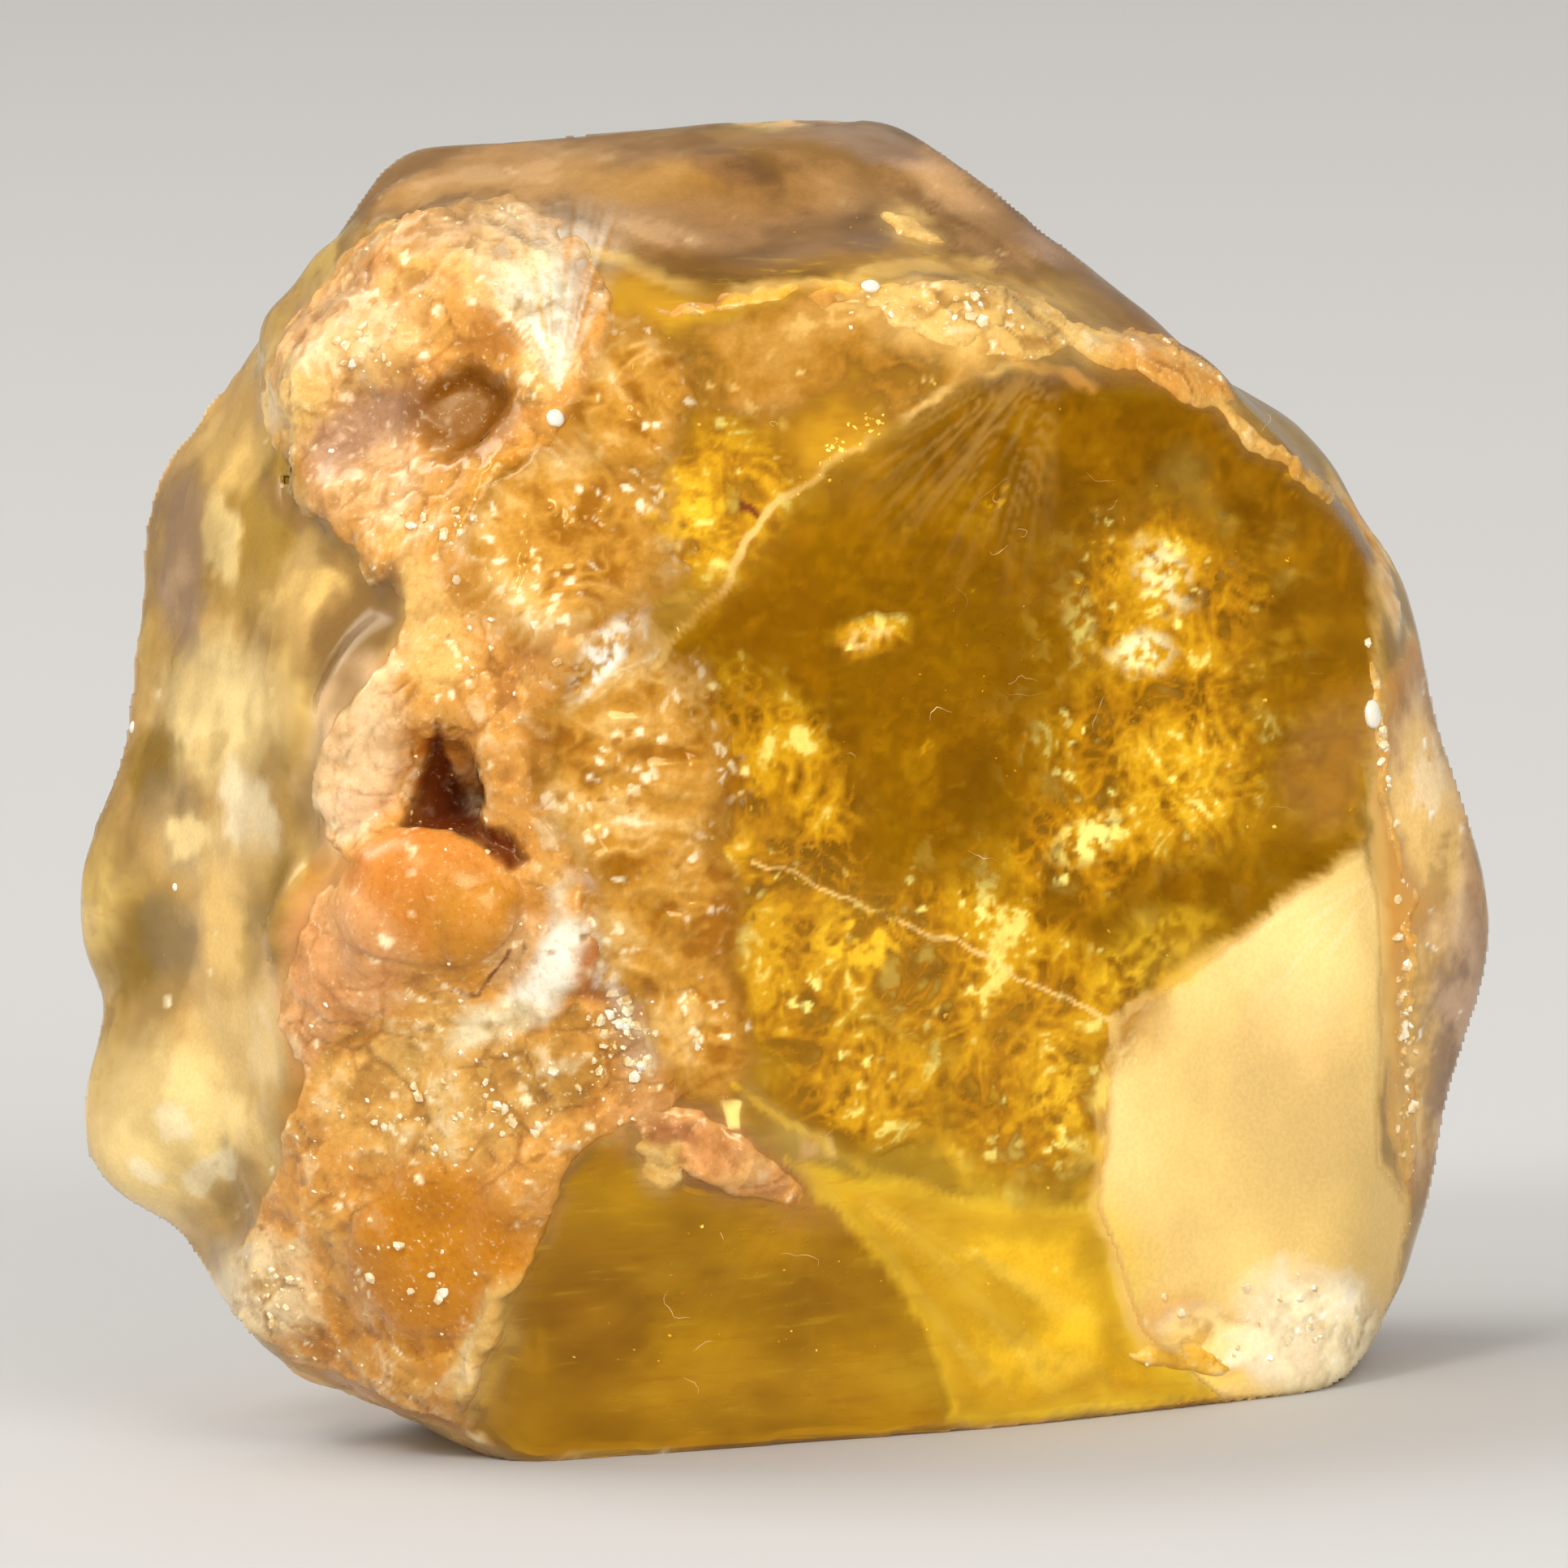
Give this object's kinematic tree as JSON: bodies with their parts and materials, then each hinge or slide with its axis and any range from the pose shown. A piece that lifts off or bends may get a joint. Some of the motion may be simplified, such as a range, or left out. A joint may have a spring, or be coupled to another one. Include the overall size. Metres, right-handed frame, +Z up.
{
  "type": "grossular garnet",
  "caption": "Rough honey-gold garnet crystal with flat growth faces, worn lobes and a pitted crust, standing on a flat broken base.",
  "frame": {"origin": "on the flat base, under the middle of the crystal's box", "axes": "+Z up, +X to the right across the widest way, front with the large window face towards -Y"},
  "size_m": [0.028, 0.023, 0.0254],
  "materials": {
    "garnet": "worn"
  },
  "bodies": {
    "root": {"garnet_crystal": "garnet"}
  },
  "joints": []
}
